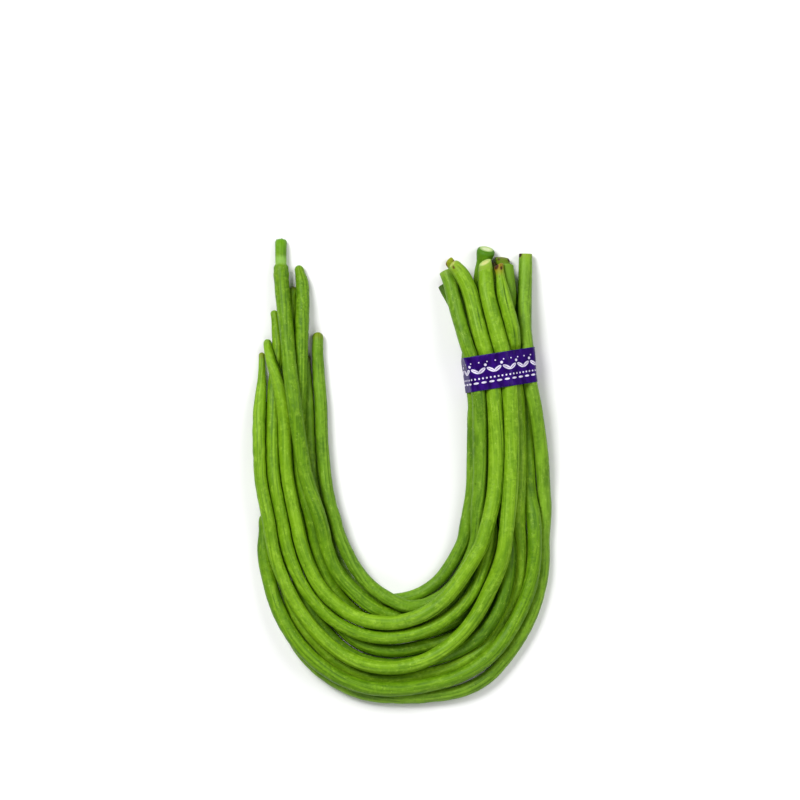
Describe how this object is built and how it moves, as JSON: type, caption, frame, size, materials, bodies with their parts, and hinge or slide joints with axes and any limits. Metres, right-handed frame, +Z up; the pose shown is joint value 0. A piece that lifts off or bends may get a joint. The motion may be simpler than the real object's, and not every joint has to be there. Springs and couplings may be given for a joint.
{
  "type": "yardlong bean bunch",
  "caption": "Bunch of long slender green bean pods folded once into a U, lying flat, with a short band of tape round the arm near the stem ends.",
  "frame": {"origin": "middle of the bunch's footprint, on the surface that it lies on", "axes": "+X across the fold towards the tied arm, +Y from the bend towards the stem ends and tips, +Z up"},
  "size_m": [0.1794, 0.2778, 0.0284],
  "materials": {
    "pod_skin": "semi-gloss fresh green skin with fine cross wrinkles and pale specks",
    "tape_film": "glossy deep purple film"
  },
  "bodies": {
    "root": {"pod_inner_left": "pod_skin", "pod_inner_right": "pod_skin", "pod_tall_tip": "pod_skin", "pod_second_tip": "pod_skin", "pod_crossing": "pod_skin", "pod_top": "pod_skin", "pod_middle": "pod_skin", "pod_under_left": "pod_skin", "pod_under_middle": "pod_skin", "pod_right_middle": "pod_skin", "pod_outer": "pod_skin", "pod_outermost": "pod_skin", "tape_band": "tape_film"}
  },
  "joints": []
}
